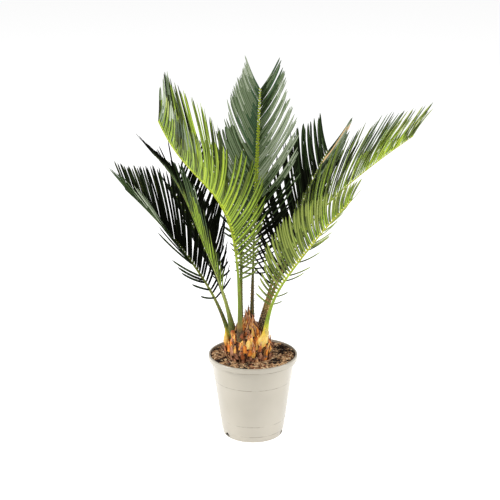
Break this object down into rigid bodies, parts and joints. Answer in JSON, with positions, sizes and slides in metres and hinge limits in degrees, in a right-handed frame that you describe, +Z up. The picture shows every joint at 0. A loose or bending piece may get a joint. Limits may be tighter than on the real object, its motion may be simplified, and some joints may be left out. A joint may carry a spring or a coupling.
{
  "type": "sago palm in a nursery pot",
  "caption": "Young sago palm with stiff feathered fronds rising from a short scaly trunk, in a round tapered nursery pot that stands on its flat underside.",
  "frame": {"origin": "centre of the pot's flat underside", "axes": "+Z up along the pot's axis; -Y towards the side with no fronds between the two front ones"},
  "size_m": [0.5992, 0.4556, 0.7232],
  "materials": {
    "pot": "satin, slightly scuffed and dusty",
    "soil": "loose coir and bark soil",
    "trunk": "dry, fibrous leaf bases",
    "frond": "stiff glossy leaflets"
  },
  "bodies": {
    "root": {"pot": "pot", "soil": "soil", "trunk": "trunk", "frond_back_tall": "frond", "frond_front_left": "frond", "frond_left": "frond", "frond_left_low": "frond", "frond_front_right": "frond", "frond_right": "frond", "frond_right_back": "frond", "frond_back": "frond", "frond_back_left": "frond"}
  },
  "joints": []
}
